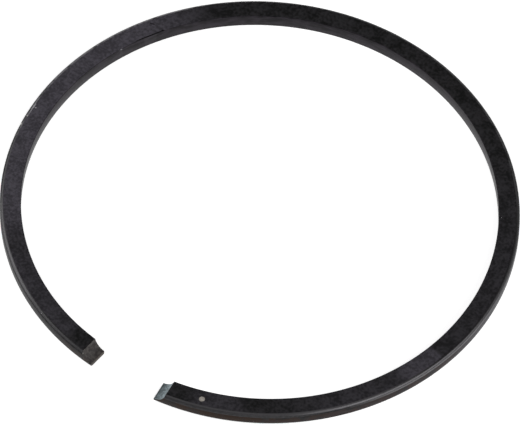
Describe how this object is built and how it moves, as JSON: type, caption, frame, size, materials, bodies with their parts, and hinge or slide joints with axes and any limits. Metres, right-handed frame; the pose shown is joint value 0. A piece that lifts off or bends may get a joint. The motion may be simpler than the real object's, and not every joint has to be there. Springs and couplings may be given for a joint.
{
  "type": "piston ring",
  "caption": "Split compression ring, sprung open, of flat rectangular section with chamfered outer edges and a pin hollow in the upper side of each end.",
  "frame": {"origin": "middle of the ring's outline, on the surface that the ring lies on", "axes": "+Z along the cylinder's axis, out of the side that faces the cylinder head; the gap faces -Y; +X across the ring"},
  "size_m": [0.0528, 0.0514, 0.0015],
  "materials": {
    "phosphated_iron": "black phosphate, satin, with a bare ground hollow at the +X end"
  },
  "bodies": {
    "root": {"piston_ring": "phosphated_iron"}
  },
  "joints": []
}
